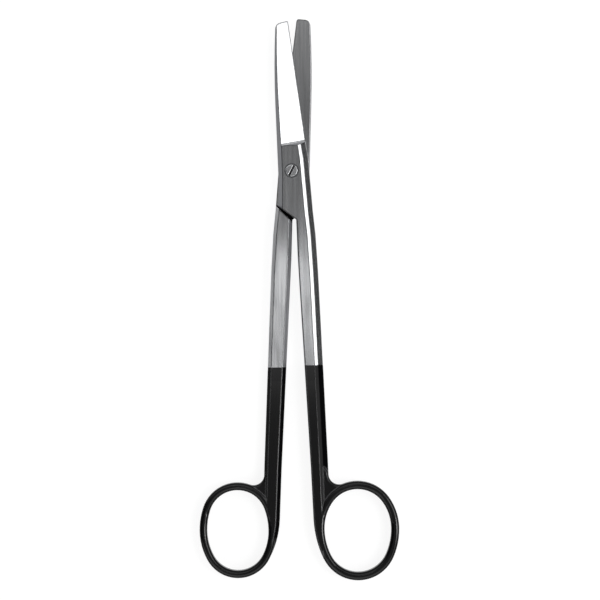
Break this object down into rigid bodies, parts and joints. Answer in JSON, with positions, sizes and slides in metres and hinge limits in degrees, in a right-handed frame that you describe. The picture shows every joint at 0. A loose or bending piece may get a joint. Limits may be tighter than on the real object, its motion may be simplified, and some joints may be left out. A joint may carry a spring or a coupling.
{
  "type": "uterine scissors",
  "caption": "Slim long-shanked surgical scissors with straight blunt blades, a half-lapped screw joint, faceted shanks and black-coated finger rings.",
  "frame": {"origin": "in the flat back of the joint on which the scissors lie, level with the screw and on the middle line", "axes": "+Y from the rings to the tips, +Z out of the screw head, +X towards the larger ring"},
  "size_m": [0.0711, 0.2001, 0.0064],
  "materials": {
    "front_lever": "satin ground stainless steel, the handle and ring coated black",
    "rear_lever": "satin ground stainless steel, the handle and ring coated black",
    "pivot_screw": "satin stainless steel"
  },
  "bodies": {
    "rear": {"rear_lever": "rear_lever", "pivot_screw": "pivot_screw"},
    "front": {"front_lever": "front_lever"}
  },
  "joints": [
    {"name": "pivot", "type": "hinge", "parent": "rear", "child": "front", "pos_m": [-0.0008, 0, 0.0032], "axis": [0, 0, 1], "range_deg": [-4, 86]}
  ]
}
